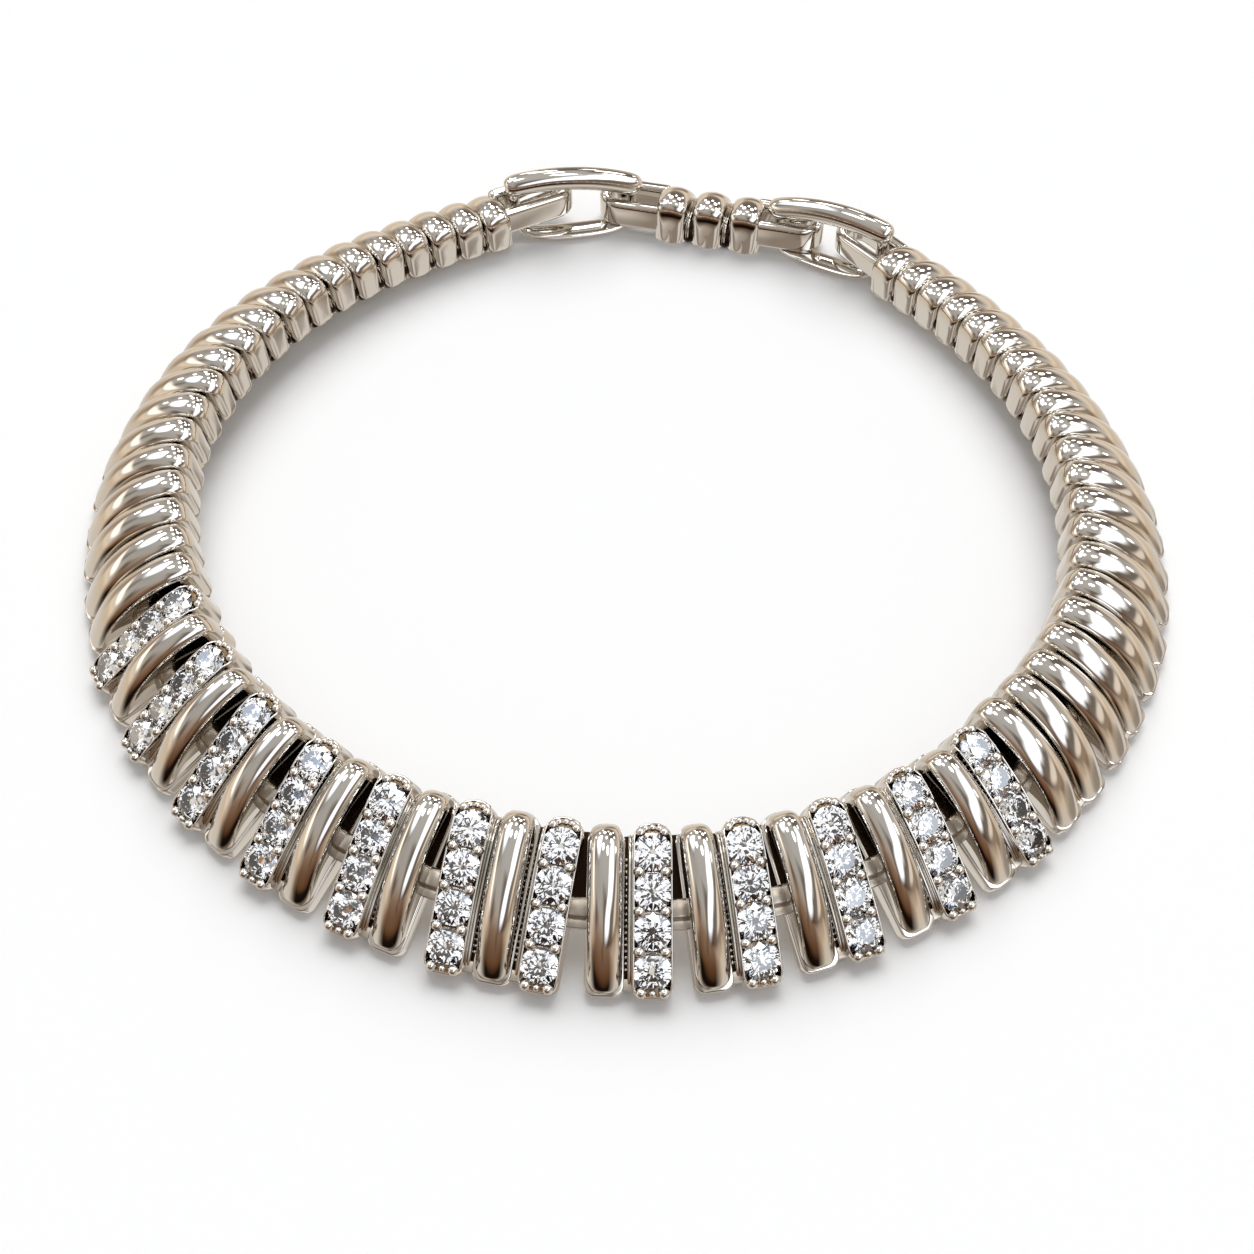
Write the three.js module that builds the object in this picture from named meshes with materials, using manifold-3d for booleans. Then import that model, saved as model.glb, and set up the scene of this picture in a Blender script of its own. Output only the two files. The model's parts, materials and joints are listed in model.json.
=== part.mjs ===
// Collar necklace: a ring of hinged links made of rounded bars, a third of the
// front bars set with four round stones each, closed at the back by a short
// extender hung between two oval rings.  Millimetres, +Z up, front towards -Y.
import * as THREE from 'three';
import Module from 'manifold-3d';

const wasm = await Module();
wasm.setup();
const { Manifold, Mesh } = wasm;

// ---- the run of the collar, counted in bars from the centre front ----------
const HALF_COUNT = 32;            // bars from the centre to the longer end
const BAR_PITCH = 6.12;           // centre to centre of two bars at the front
const PITCH_FALL = 0.149;         // share of the pitch lost towards the back
const TURN_PER_BAR = 4.836;       // degrees of bend from bar to bar
const TURN_SWELL = 0.297;         // the bend grows along the sides ...
const TURN_FADE = 0.794;          // ... and the last links run straighter
const FRONT_REACH = 66.55;        // centre of the piece to the front guide line
const LINK_CLOSENESS = 0.05;      // bars of one link stand this much closer

// ---- size of a bar along the collar ---------------------------------------
// length: tip to tip, height: foot to crest, tilt: how far the inner end is
// lifted off the table, reach: how far the outer tip stands out from the guide
const BAR_STATIONS = [
  { bar: 0, length: 21.4, height: 8.7, tilt: 22.5, reach: 8.3 },
  { bar: 12, length: 18.9, height: 8.5, tilt: 22.0, reach: 7.7 },
  { bar: 17, length: 17.4, height: 8.2, tilt: 20.0, reach: 7.6 },
  { bar: 21, length: 16.6, height: 8.0, tilt: 17.5, reach: 6.5 },
  { bar: 25, length: 14.5, height: 7.8, tilt: 14.0, reach: 4.6 },
  { bar: 28, length: 13.0, height: 7.6, tilt: 9.0, reach: 3.5 },
  { bar: 32, length: 12.2, height: 7.3, tilt: 4.0, reach: 3.0 },
];

// ---- outline of one polished bar, outer tip first --------------------------
// along: share of the length, crest: share of the height, plan: share of width
const POLISHED_OUTLINE = [
  { along: 0.0, crest: 0.23, plan: 0.5 },
  { along: 0.05, crest: 0.41, plan: 0.88 },
  { along: 0.24, crest: 0.73, plan: 1.0 },
  { along: 0.58, crest: 0.98, plan: 1.0 },
  { along: 0.86, crest: 0.95, plan: 1.0 },
  { along: 0.955, crest: 0.46, plan: 0.86 },
  { along: 1.0, crest: 0.375, plan: 0.5 },
];
const WALL_AT_TIP = 0.2;          // height of the straight wall, outer end
const WALL_AT_NECK = 0.36;        // and at the end next to the neck
const SHOULDER = { out: 0.74, up: 0.68 };
const POLISHED_WIDTH = { tip: 4.7, neck: 4.3 };

// ---- outline of one stone-set bar ------------------------------------------
const SET_OUTLINE = [
  { along: 0.0, crest: 0.22, plan: 0.78 },
  { along: 0.04, crest: 0.31, plan: 1.0 },
  { along: 0.25, crest: 0.47, plan: 1.0 },
  { along: 0.5, crest: 0.62, plan: 1.0 },
  { along: 0.78, crest: 0.71, plan: 1.0 },
  { along: 0.955, crest: 0.68, plan: 0.98 },
  { along: 1.0, crest: 0.4, plan: 0.8 },
];
const SET_WIDTH = { tip: 5.3, neck: 5.0 };
const STONE = { diameter: 4.7, crown: 0.8, sunk: 0.3, table: 0.6, sides: 6 };
const STONES_PER_BAR = 4;
const FIRST_STONE_AT = 0.135;     // share of the bar's length
const STONE_STEP = 0.25;

// ---- what joins the bars and the links -------------------------------------
const WEB = { from: 0.07, middle: 0.55, to: 0.93, under: 0.5, rib: 0.62, bite: 0.6 };
const TONGUE = { at: 0.46, half: 1.7, low: 0.9, shoulder: 2.7, top: 3.5, bite: 0.7 };
const CLEAR = 0.42;               // free space round a tongue or a ring

// ---- back closure ----------------------------------------------------------
const EXTENDER = { x: -1.0, neckY: 64.32, bars: [-1, 0, 1], pitch: 6.2 };
const EXTENDER_SIZE = { length: 11.3, height: 7.0, tilt: 0, reach: 0 };
const LOOP = { depth: 7.4, wall: 2.0, low: 2.08, high: 6.1, inset: 0.9, length: 10.3 };
const CHAIN_LOOP_LENGTH = { left: 12.0, right: 11.0 };
const RING = {                    // inLoop: distance from the bar beside the loop
  left: { height: 10.8, inChainLoop: 2.3, inExtenderLoop: 5.2 },
  right: { height: 9.8, inChainLoop: 2.0, inExtenderLoop: 2.9 },
};
const SMOOTHING = 0.08;           // flat spots closer than this are merged

const champagneGold = () => new THREE.MeshStandardMaterial({
  name: 'champagne_gold', color: 0xcdbda6, metalness: 1.0, roughness: 0.14,
});

// ---- small helpers ----------------------------------------------------------
const mix = (a, b, t) => a + (b - a) * t;
const rad = THREE.MathUtils.degToRad;

function stationAt(bar) {
  const at = Math.abs(bar);
  const next = Math.max(1, BAR_STATIONS.findIndex((row) => row.bar >= at));
  const [low, high] = [BAR_STATIONS[next - 1], BAR_STATIONS[next]];
  const t = (at - low.bar) / (high.bar - low.bar);
  return {
    length: mix(low.length, high.length, t),
    height: mix(low.height, high.height, t),
    tilt: mix(low.tilt, high.tilt, t),
    reach: mix(low.reach, high.reach, t),
  };
}

// Heading of the guide line at a bar, in radians.
function headingAt(bar) {
  const q = bar / HALF_COUNT;
  return rad(TURN_PER_BAR) * HALF_COUNT * (q + TURN_SWELL * q ** 3 / 3 - TURN_FADE * q ** 5 / 5);
}

// Point of the guide line at a bar, walked from the centre front.
function guidePoint(bar) {
  const steps = Math.max(1, Math.ceil(Math.abs(bar) * 8));
  const stride = bar / steps;
  let x = 0;
  let y = -FRONT_REACH;
  for (let i = 0; i < steps; i++) {
    const mid = (i + 0.5) * stride;
    const pitch = BAR_PITCH * (1 - PITCH_FALL * (mid / HALF_COUNT) ** 2);
    x += Math.cos(headingAt(mid)) * pitch * stride;
    y += Math.sin(headingAt(mid)) * pitch * stride;
  }
  return new THREE.Vector3(x, y, 0);
}

// Frame of a bar: X across it along the collar, Y from its outer tip towards
// the neck, Z up from its foot; the origin is the tip on the table.
function barFrame(bar) {
  const { tilt, reach } = stationAt(bar);
  const heading = headingAt(bar);
  const outward = new THREE.Vector3(Math.sin(heading), -Math.cos(heading), 0);
  const tip = guidePoint(bar).addScaledVector(outward, reach);
  return new THREE.Matrix4().makeTranslation(tip.x, tip.y, tip.z)
    .multiply(new THREE.Matrix4().makeRotationZ(heading))
    .multiply(new THREE.Matrix4().makeRotationX(rad(tilt)));
}

// Closed body through rings of points; capped ends unless it runs round.
function loft(rings, runsRound = false) {
  const count = rings[0].length;
  const points = rings.flat();
  const triangles = [];
  const spans = runsRound ? rings.length : rings.length - 1;
  for (let i = 0; i < spans; i++) {
    const a = i * count;
    const b = ((i + 1) % rings.length) * count;
    for (let j = 0; j < count; j++) {
      const k = (j + 1) % count;
      triangles.push([a + j, a + k, b + k], [a + j, b + k, b + j]);
    }
  }
  if (!runsRound) {
    const last = (rings.length - 1) * count;
    for (let j = 1; j < count - 1; j++) {
      triangles.push([0, j + 1, j], [last, last + j, last + j + 1]);
    }
  }
  let volume = 0;
  for (const [a, b, c] of triangles) {
    volume += points[a].dot(new THREE.Vector3().crossVectors(points[b], points[c]));
  }
  if (volume < 0) triangles.forEach((t) => t.reverse());
  return new Manifold(new Mesh({
    numProp: 3,
    vertProperties: Float32Array.from(points.flatMap((p) => [p.x, p.y, p.z])),
    triVerts: Uint32Array.from(triangles.flat()),
  }));
}

const place = (frame, x, y, z) => new THREE.Vector3(x, y, z).applyMatrix4(frame);

// One bar of the collar as a record the other makers share.
function makeBar(index, kind, frame, size) {
  const width = kind === 'set' ? SET_WIDTH : POLISHED_WIDTH;
  return {
    index, kind, frame, ...size,
    halfWidth: (along) => mix(width.tip, width.neck, along) / 2,
    wall: (along) => mix(WALL_AT_TIP, WALL_AT_NECK, along) * size.height,
  };
}

function crestOf(outline, along) {
  const next = Math.max(1, outline.findIndex((row) => row.along >= along));
  const [low, high] = [outline[next - 1], outline[next]];
  return mix(low.crest, high.crest, (along - low.along) / (high.along - low.along));
}

function polishedBody(bar) {
  return loft(POLISHED_OUTLINE.map(({ along, crest, plan }) => {
    const w = bar.halfWidth(along) * plan;
    const wall = Math.min(bar.wall(along), crest * bar.height - 0.05);
    const top = crest * bar.height;
    const side = mix(wall, top, SHOULDER.up);
    const y = along * bar.length;
    return [[-w, 0], [-w, wall], [-w * SHOULDER.out, side], [0, top],
      [w * SHOULDER.out, side], [w, wall], [w, 0]]
      .map(([x, z]) => place(bar.frame, x, y, z));
  }));
}

function setBody(bar) {
  let body = loft(SET_OUTLINE.map(({ along, crest, plan }) => {
    const w = bar.halfWidth(along) * plan;
    const y = along * bar.length;
    const top = crest * bar.height;
    return [[-w, 0], [-w, top], [w, top], [w, 0]].map(([x, z]) => place(bar.frame, x, y, z));
  }));
  for (let i = 0; i < STONES_PER_BAR; i++) {
    const along = FIRST_STONE_AT + STONE_STEP * i;
    body = body.add(stoneBody(bar, along));
  }
  return body;
}

// A round stone, seated in line with the slope of its setting.
function stoneBody(bar, along) {
  const lean = 0.04;
  const rise = (crestOf(SET_OUTLINE, along + lean) - crestOf(SET_OUTLINE, along - lean)) * bar.height;
  const seat = new THREE.Matrix4()
    .makeTranslation(0, along * bar.length, crestOf(SET_OUTLINE, along) * bar.height)
    .multiply(new THREE.Matrix4().makeRotationX(Math.atan2(rise, 2 * lean * bar.length)));
  const frame = bar.frame.clone().multiply(seat);
  const radius = STONE.diameter / 2;
  return loft([[radius, -STONE.sunk], [radius * STONE.table, STONE.crown]]
    .map(([r, z]) => Array.from({ length: STONE.sides }, (_, i) => {
      const a = (i + 0.5) * 2 * Math.PI / STONE.sides;
      return place(frame, r * Math.cos(a), r * Math.sin(a), z);
    })));
}

const bodyOf = (bar) => (bar.kind === 'set' ? setBody(bar) : polishedBody(bar));

// Web with a lengthwise rib that joins two bars of one link.
function webBody(left, right) {
  return loft([WEB.from, WEB.middle, WEB.to].map((along) => {
    const row = (bar, x, z) => place(bar.frame, x, along * bar.length, z);
    const a = left.halfWidth(along);
    const b = right.halfWidth(along);
    const low = WEB.under;
    const rib = WEB.rib * Math.min(crestOf(POLISHED_OUTLINE, along), 0.98) * left.height;
    const flat = rib * 0.72;
    const ridge = row(left, a, rib).lerp(row(right, -b, rib), 0.5);
    return [row(left, a * WEB.bite, low), row(left, a * WEB.bite, flat), ridge,
      row(right, -b * WEB.bite, flat), row(right, -b * WEB.bite, low)];
  }));
}

// Hinge tongue of one link; with spare > 0 it is the pocket cut for it.
function tongueBody(from, to, spare = 0) {
  const shape = [[-TONGUE.half - spare, TONGUE.low - spare], [-TONGUE.half - spare, TONGUE.shoulder],
    [-TONGUE.half * 0.55 - spare, TONGUE.top + spare], [TONGUE.half * 0.55 + spare, TONGUE.top + spare],
    [TONGUE.half + spare, TONGUE.shoulder], [TONGUE.half + spare, TONGUE.low - spare]];
  const slice = (bar, x) => shape.map(([y, z]) => place(bar.frame, x, TONGUE.at * bar.length + y, z));
  const far = to.halfWidth(TONGUE.at);
  const near = from.halfWidth(TONGUE.at);
  if (spare) return loft([slice(to, -far - 0.45), slice(to, -far + TONGUE.bite + spare)]);
  return loft([slice(from, near - 0.8), slice(to, -far + TONGUE.bite)]);
}

// Flat-sided loop standing out from an end bar; X away from the bar.
function loopBody(frame, length) {
  const radius = (LOOP.depth - LOOP.wall) / 2;
  const run = length - LOOP.depth / 2;
  const path = [[-1.2, -radius, -90], [run, -radius, -90]];
  for (const turn of [-45, 0, 45]) {
    path.push([run + radius * Math.cos(rad(turn)), radius * Math.sin(rad(turn)), turn]);
  }
  path.push([run, radius, 90], [-1.2, radius, 90]);
  const t = LOOP.wall / 2;
  const edge = 0.55;
  const section = [[-t, LOOP.low], [t, LOOP.low], [t, LOOP.high - edge], [t - edge, LOOP.high],
    [-t + edge, LOOP.high], [-t, LOOP.high - edge]];
  return loft(path.map(([x, y, turn]) => section.map(([out, z]) => place(
    frame, x + out * Math.cos(rad(turn)), y + out * Math.sin(rad(turn)), z,
  ))));
}

// Oval closing ring: arched round rod above, legs, thin flat strip below.
const RING_ROUND = [
  { x: 0.0, z: 1.0, thick: 1.7, wide: 1.7, near: 0 },
  { x: 0.46, z: 0.965, thick: 1.68, wide: 1.7, near: 0 },
  { x: 0.89, z: 0.87, thick: 1.5, wide: 1.6, near: 0 },
  { x: 1.05, z: 0.69, thick: 1.15, wide: 1.15, near: 0 },
  { x: 1.0, z: 0.42, thick: 0.95, wide: 0.95, near: 0 },
  { x: 0.96, z: 0.17, thick: 0.8, wide: 0.95, near: 0.1 },
  { x: 0.84, z: 0.057, thick: 0.55, wide: 1.7, near: 1.4 },
  { x: 0.4, z: 0.057, thick: 0.55, wide: 2.0, near: 2.0 },
];
function ringBody(start, finish, height) {
  const frame = new THREE.Matrix4().makeTranslation((start.x + finish.x) / 2, (start.y + finish.y) / 2, 0)
    .multiply(new THREE.Matrix4().makeRotationZ(Math.atan2(finish.y - start.y, finish.x - start.x)));
  const reach = start.distanceTo(finish) / 2;
  const path = [...RING_ROUND, ...RING_ROUND.slice(1).reverse().map((row) => ({ ...row, x: -row.x }))];
  const at = path.map((row) => new THREE.Vector3(row.x * reach, -row.near, row.z * height));
  return loft(path.map((row, i) => {
    const before = at[(i + path.length - 1) % path.length];
    const after = at[(i + 1) % path.length];
    const run = new THREE.Vector3().subVectors(after, before).setY(0).normalize();
    const normal = new THREE.Vector3(run.z, 0, -run.x);
    return Array.from({ length: 8 }, (_, j) => {
      const a = (j + 0.5) * Math.PI / 4;
      const p = at[i].clone().addScaledVector(normal, row.thick * Math.cos(a));
      return place(frame, p.x, p.y + row.wide * Math.sin(a), p.z);
    });
  }), true);
}

// ---- the links --------------------------------------------------------------
const plan = [{ name: 'link_centre', bars: [[-1, 'set'], [0, 'polished'], [1, 'set']] }];
const MIXED_LINKS = 5;
const two = (n) => String(n).padStart(2, '0');
for (let i = 1; i <= 15; i++) {
  const far = i <= MIXED_LINKS ? 'set' : 'polished';
  plan.push({ name: `link_left_${two(i)}`, bars: [[-2 * i - 1, far], [-2 * i, 'polished']] });
  const right = [[2 * i, 'polished'], [2 * i + 1, far]];
  if (i === 15) right.push([2 * i + 2, 'polished']);
  plan.push({ name: `link_right_${two(i)}`, bars: right });
}
plan.sort((a, b) => a.bars[0][0] - b.bars[0][0]);

for (const link of plan) {
  const middle = link.bars.reduce((sum, [index]) => sum + index, 0) / link.bars.length;
  link.middle = middle;
  link.bars = link.bars.map(([index, kind]) => {
    const at = mix(index, middle, LINK_CLOSENESS);
    return makeBar(index, kind, barFrame(at), stationAt(at));
  });
}

// A level frame beside an end bar, X leading away from the chain.
function endFrame(bar, side) {
  const middle = place(bar.frame, 0, 0, 0).lerp(place(bar.frame, 0, bar.length, 0), 0.5);
  const across = new THREE.Vector3(side, 0, 0).transformDirection(bar.frame);
  const heading = Math.atan2(across.y, across.x);
  const shift = side * (LOOP.inset + LOOP.depth / 2 - bar.length / 2);
  const frame = new THREE.Matrix4().makeTranslation(middle.x, middle.y, 0)
    .multiply(new THREE.Matrix4().makeRotationZ(heading));
  return frame.multiply(new THREE.Matrix4()
    .makeTranslation(bar.halfWidth(0.5), -shift, 0));
}

const bodies = new Map();
plan.forEach((link, i) => {
  let body = link.bars.map(bodyOf).reduce((all, one) => all.add(one));
  for (let j = 1; j < link.bars.length; j++) body = body.add(webBody(link.bars[j - 1], link.bars[j]));
  const first = link.bars[0];
  const last = link.bars[link.bars.length - 1];
  if (i > 0) {
    const before = plan[i - 1].bars;
    body = body.subtract(tongueBody(before[before.length - 1], first, CLEAR));
  } else {
    body = body.add(loopBody(endFrame(first, -1), CHAIN_LOOP_LENGTH.left));
  }
  if (i < plan.length - 1) body = body.add(tongueBody(last, plan[i + 1].bars[0]));
  else body = body.add(loopBody(endFrame(last, 1), CHAIN_LOOP_LENGTH.right));
  bodies.set(link.name, body);
});

// ---- extender and closing rings ---------------------------------------------
const extenderBars = EXTENDER.bars.map((n) => {
  const tipY = EXTENDER.neckY + EXTENDER_SIZE.length;
  const frame = new THREE.Matrix4().makeTranslation(EXTENDER.x - n * EXTENDER.pitch, tipY, 0)
    .multiply(new THREE.Matrix4().makeRotationZ(Math.PI));
  return makeBar(n, 'polished', frame, EXTENDER_SIZE);
});
let extender = extenderBars.map(polishedBody).reduce((all, one) => all.add(one));
for (let j = 1; j < extenderBars.length; j++) {
  extender = extender.add(webBody(extenderBars[j - 1], extenderBars[j]));
}
extender = extender.add(loopBody(endFrame(extenderBars[0], -1), LOOP.length));
extender = extender.add(loopBody(endFrame(extenderBars[2], 1), LOOP.length));
bodies.set('extender', extender);

// Each ring passes down through a loop of the chain and one of the extender.
const leftEnd = plan[0].bars[0];
const rightEnd = plan[plan.length - 1].bars.at(-1);
bodies.set('clasp_ring_left', ringBody(
  place(endFrame(leftEnd, -1), RING.left.inChainLoop, 0, 0),
  place(endFrame(extenderBars[2], 1), RING.left.inExtenderLoop, 0, 0),
  RING.left.height,
));
bodies.set('clasp_ring_right', ringBody(
  place(endFrame(extenderBars[0], -1), RING.right.inExtenderLoop, 0, 0),
  place(endFrame(rightEnd, 1), RING.right.inChainLoop, 0, 0),
  RING.right.height,
));

// ---- the finished scene -------------------------------------------------------
const collar = new THREE.Group();
for (const [name, body] of bodies) {
  const { vertProperties, triVerts } = body.asOriginal().simplify(SMOOTHING).getMesh();
  const geometry = new THREE.BufferGeometry();
  geometry.setAttribute('position', new THREE.BufferAttribute(new Float32Array(vertProperties), 3));
  geometry.setIndex(new THREE.BufferAttribute(new Uint32Array(triVerts), 1));
  geometry.computeBoundingBox();
  const centre = geometry.boundingBox.getCenter(new THREE.Vector3()).setZ(0);
  geometry.translate(-centre.x, -centre.y, 0);
  geometry.computeVertexNormals();
  const mesh = new THREE.Mesh(geometry, champagneGold());
  mesh.name = name;
  mesh.position.copy(centre);
  collar.add(mesh);
}

export default collar;
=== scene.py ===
# %% [markdown]
# # A collar necklace of hinged gold bars
#
# The real piece is a jeweller's collar: short rounded bars stand side by side like the
# staves of a barrel, every two or three of them soldered into a link, and each link hinged
# to the next.  At the front every second bar carries four round brilliants.  A short
# extender hangs between two oval rings at the back.
#
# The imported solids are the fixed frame.  They say where everything is, and each piece made
# here takes the place of one of them with the finish that the eye expects.

# %% Load the frame
import json
import math

import bmesh
import bpy
from mathutils import Matrix, Vector

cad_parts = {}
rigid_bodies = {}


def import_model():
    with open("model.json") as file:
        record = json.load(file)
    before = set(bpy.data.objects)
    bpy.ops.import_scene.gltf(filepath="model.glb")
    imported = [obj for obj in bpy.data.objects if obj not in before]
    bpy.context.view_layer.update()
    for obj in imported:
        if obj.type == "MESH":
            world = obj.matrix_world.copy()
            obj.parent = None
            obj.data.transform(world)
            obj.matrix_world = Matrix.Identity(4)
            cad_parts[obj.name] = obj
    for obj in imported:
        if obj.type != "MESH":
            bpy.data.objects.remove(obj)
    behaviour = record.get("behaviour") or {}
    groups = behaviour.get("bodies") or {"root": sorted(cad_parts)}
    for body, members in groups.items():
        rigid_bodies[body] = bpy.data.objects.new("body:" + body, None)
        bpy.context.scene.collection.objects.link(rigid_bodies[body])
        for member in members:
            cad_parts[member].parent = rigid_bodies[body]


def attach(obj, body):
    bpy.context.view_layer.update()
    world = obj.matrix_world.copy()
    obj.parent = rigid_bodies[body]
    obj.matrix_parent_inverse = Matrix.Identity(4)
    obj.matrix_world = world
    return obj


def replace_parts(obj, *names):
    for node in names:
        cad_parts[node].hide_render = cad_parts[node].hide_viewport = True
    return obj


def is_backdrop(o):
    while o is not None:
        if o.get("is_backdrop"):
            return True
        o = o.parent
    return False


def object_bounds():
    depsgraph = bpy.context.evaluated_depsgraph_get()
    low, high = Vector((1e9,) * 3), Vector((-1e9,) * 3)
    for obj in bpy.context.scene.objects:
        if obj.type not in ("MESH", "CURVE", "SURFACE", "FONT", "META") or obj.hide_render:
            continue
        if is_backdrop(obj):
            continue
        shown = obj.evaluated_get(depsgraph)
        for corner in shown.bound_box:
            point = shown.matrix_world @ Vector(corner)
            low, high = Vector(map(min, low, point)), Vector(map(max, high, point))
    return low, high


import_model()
SOLID_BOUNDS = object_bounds()
print("solid size in mm:", [round(v * 1000, 1) for v in SOLID_BOUNDS[1] - SOLID_BOUNDS[0]])

# %% [markdown]
# ## The run of the collar
#
# A jeweller lays such a collar out on a former: one curved guide line, with a bar across it
# at every step.  The bars grow shorter, lower and flatter towards the back.  The same few
# sizes that shape the solids are used here, in millimetres, so that every detail lands on
# its bar without fitting.

# %% Named sizes of the collar, in millimetres
MM = 0.001
HALF_COUNT = 32            # bars from the centre to the longer end
BAR_PITCH = 6.12           # centre to centre of two bars at the front
PITCH_FALL = 0.149         # share of the pitch lost towards the back
TURN_PER_BAR = 4.836       # degrees of bend from bar to bar
TURN_SWELL = 0.297         # the bend grows along the sides
TURN_FADE = 0.794          # and the last links run straighter
FRONT_REACH = 66.55        # centre of the piece to the front guide line
LINK_CLOSENESS = 0.05      # bars of one link stand this much closer
LINK_STIFFNESS = 0.8       # and lie this much straighter, so that the bend is at the hinges


def table(columns, *rows):
    """A list of rows, each a dictionary with these names for its columns."""
    return [dict(zip(columns.split(), row)) for row in rows]


BAR_STATIONS = table(
    "bar length height tilt reach",
    (0, 21.4, 8.7, 22.5, 8.3),
    (12, 18.9, 8.5, 22.0, 7.7),
    (17, 17.4, 8.2, 20.0, 7.6),
    (21, 16.6, 8.0, 17.5, 6.5),
    (25, 14.5, 7.8, 14.0, 4.6),
    (28, 13.0, 7.6, 9.0, 3.5),
    (32, 12.2, 7.3, 4.0, 3.0),
)


# %% Where a bar lies
def mix(a, b, t):
    return a + (b - a) * t


def mix_rows(rows, key, at):
    """The values at a place, mixed from the rows on either side of it."""
    upper = max(1, next(i for i, row in enumerate(rows) if row[key] >= at))
    low, high = rows[upper - 1], rows[upper]
    t = (at - low[key]) / (high[key] - low[key])
    return {name: mix(low[name], high[name], t) for name in low}


def station(bar):
    """Length, height, tilt and reach of the bar with this number, as a dictionary."""
    return mix_rows(BAR_STATIONS, "bar", abs(bar))


def heading(bar):
    """Direction of the guide line at a bar, in radians."""
    q = bar / HALF_COUNT
    swing = q + TURN_SWELL * q**3 / 3 - TURN_FADE * q**5 / 5
    return math.radians(TURN_PER_BAR) * HALF_COUNT * swing


def level_frame(place, turn):
    """A frame on the table, turned about Z; millimetres to metres."""
    return Matrix.Scale(MM, 4) @ Matrix.Translation(place) @ Matrix.Rotation(turn, 4, "Z")


def bar_frame(bar, link=None):
    """X across the bar, Y from its outer tip to the neck, Z up; millimetres to metres.

    A bar that is soldered into a link turns towards the heading of the link's middle.
    """
    steps = max(1, math.ceil(abs(bar) * 8))
    stride = bar / steps
    x, y = 0.0, -FRONT_REACH
    for i in range(steps):
        mid = (i + 0.5) * stride
        pitch = BAR_PITCH * (1 - PITCH_FALL * (mid / HALF_COUNT) ** 2)
        x += math.cos(heading(mid)) * pitch * stride
        y += math.sin(heading(mid)) * pitch * stride
    size, turn = station(bar), heading(bar)
    if link is not None:
        turn = mix(turn, heading(link), LINK_STIFFNESS)
    tip = Vector((x + math.sin(turn) * size["reach"], y - math.cos(turn) * size["reach"], 0))
    return level_frame(tip, turn) @ Matrix.Rotation(math.radians(size["tilt"]), 4, "X")


# %% The links, each with its bars in order along the collar
def spread(numbers):
    """Places of a link's bars: a little closer together than whole steps."""
    middle = sum(numbers) / len(numbers)
    return [mix(n, middle, LINK_CLOSENESS) for n in numbers]


MIXED_LINKS = 5            # links beside the centre with one stone-set bar each
LINKS = {"link_centre": ([-1, 0, 1], ["set", "plain", "set"])}
for number in range(1, 16):
    outer = "set" if number <= MIXED_LINKS else "plain"
    LINKS[f"link_left_{number:02d}"] = ([-2 * number - 1, -2 * number], [outer, "plain"])
    numbers, kinds = [2 * number, 2 * number + 1], ["plain", outer]
    if number == 15:
        numbers, kinds = numbers + [2 * number + 2], kinds + ["plain"]
    LINKS[f"link_right_{number:02d}"] = (numbers, kinds)
print("links:", len(LINKS), "bars:", sum(len(bars) for bars, _ in LINKS.values()))

# %% [markdown]
# ## Camera
#
# The camera stands a little to the right of the front and looks down at about fifty
# degrees, near enough for the front bars to look clearly larger than the back ones.

# %% Set up the camera
CAMERA = {                  # degrees, but the roll in radians; distance and lens in mm
    "elevation": 52.12, "turn": 12.4, "away": 263.63, "roll": 0.0036, "lens": 53.48,
}
AIM = Vector((4.23, -16.72, 0))      # point of the table in the middle of the view, in mm

eye = bpy.data.objects.new("camera", bpy.data.cameras.new("camera"))
bpy.context.scene.collection.objects.link(eye)
bpy.context.scene.camera = eye
eye.data.lens = CAMERA["lens"]
eye.data.sensor_width = 36.0
eye.data.clip_end = 5.0
lift, swing = math.radians(CAMERA["elevation"]), math.radians(CAMERA["turn"])
back = Vector((math.sin(swing) * math.cos(lift), -math.cos(swing) * math.cos(lift), math.sin(lift)))
eye.rotation_mode = "QUATERNION"
roll = Matrix.Rotation(CAMERA["roll"], 3, "Z").to_quaternion()
eye.rotation_quaternion = (-back).to_track_quat("-Z", "Y") @ roll
eye.location = (AIM + back * CAMERA["away"]) * MM
print("camera at, in m:", [round(v, 3) for v in eye.location])

# %% [markdown]
# ## Ways of working
#
# Every form is modelled once, lying along Y from 0 to 1, one wide and one high, and is then
# copied with its real size.  A form is shaped in edit mode: a primitive is added, parts of it
# are picked by their place, and they are extruded, moved or stretched.


# %% Start, pick and finish a form
def start_form(name):
    """A new empty mesh in edit mode, with nothing else selected."""
    if bpy.context.mode != "OBJECT":
        bpy.ops.object.mode_set(mode="OBJECT")
    bpy.ops.object.select_all(action="DESELECT")
    made = bpy.data.objects.new(name, bpy.data.meshes.new(name))
    bpy.context.scene.collection.objects.link(made)
    bpy.context.view_layer.objects.active = made
    made.select_set(True)
    bpy.ops.object.mode_set(mode="EDIT")
    return made


def select_all():
    bpy.ops.mesh.select_all(action="SELECT")


def pick(kind, rule):
    """Selects the verts, edges or faces that a rule on their place accepts."""
    bpy.ops.mesh.select_mode(type={"verts": "VERT", "edges": "EDGE", "faces": "FACE"}[kind])
    shape = bmesh.from_edit_mesh(bpy.context.object.data)
    for part in [*shape.faces, *shape.edges, *shape.verts]:
        part.select = False
    for part in getattr(shape, kind):
        if kind == "verts":
            chosen = rule(part.co)
        elif kind == "edges":
            chosen = rule(part.verts[0].co, part.verts[1].co)
        else:
            chosen = rule(part.calc_center_median(), part.normal)
        if chosen:
            part.select_set(True)
    shape.select_flush_mode()
    bmesh.update_edit_mesh(bpy.context.object.data)


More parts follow.
